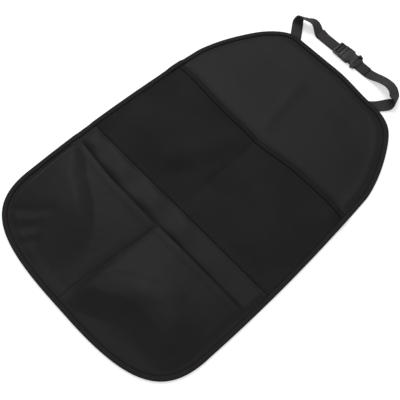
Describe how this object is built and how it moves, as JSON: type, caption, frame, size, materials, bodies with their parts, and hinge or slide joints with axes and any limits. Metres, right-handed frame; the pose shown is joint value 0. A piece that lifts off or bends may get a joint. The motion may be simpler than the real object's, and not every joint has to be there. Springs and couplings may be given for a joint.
{
  "type": "car seat back organizer",
  "caption": "Soft kick mat with rounded corners, a mesh pocket, a lower pocket and a headrest strap with a side release buckle.",
  "frame": {"origin": "on the back panel's rear face, midway between the bottom edge and the head edge, on the middle line", "axes": "+Y from the bottom edge to the head edge and its strap, +Z out of the pocket side, +X across"},
  "size_m": [0.4276, 0.6749, 0.0199],
  "materials": {
    "panel_cloth": "coated cloth with a soft sheen",
    "mesh": "open knitted mesh, matt",
    "tape": "woven binding tape, matt",
    "webbing": "ribbed woven webbing, matt",
    "buckle_plastic": "fine moulded texture"
  },
  "bodies": {
    "root": {"back_panel": "panel_cloth", "lower_pocket": "panel_cloth", "mesh_pocket": "mesh", "mesh_pocket_hem": "tape", "edge_binding": "tape", "strap_adjusting": "webbing", "strap_fixed": "webbing", "buckle_plug": "buckle_plastic", "buckle_socket": "buckle_plastic"}
  },
  "joints": []
}
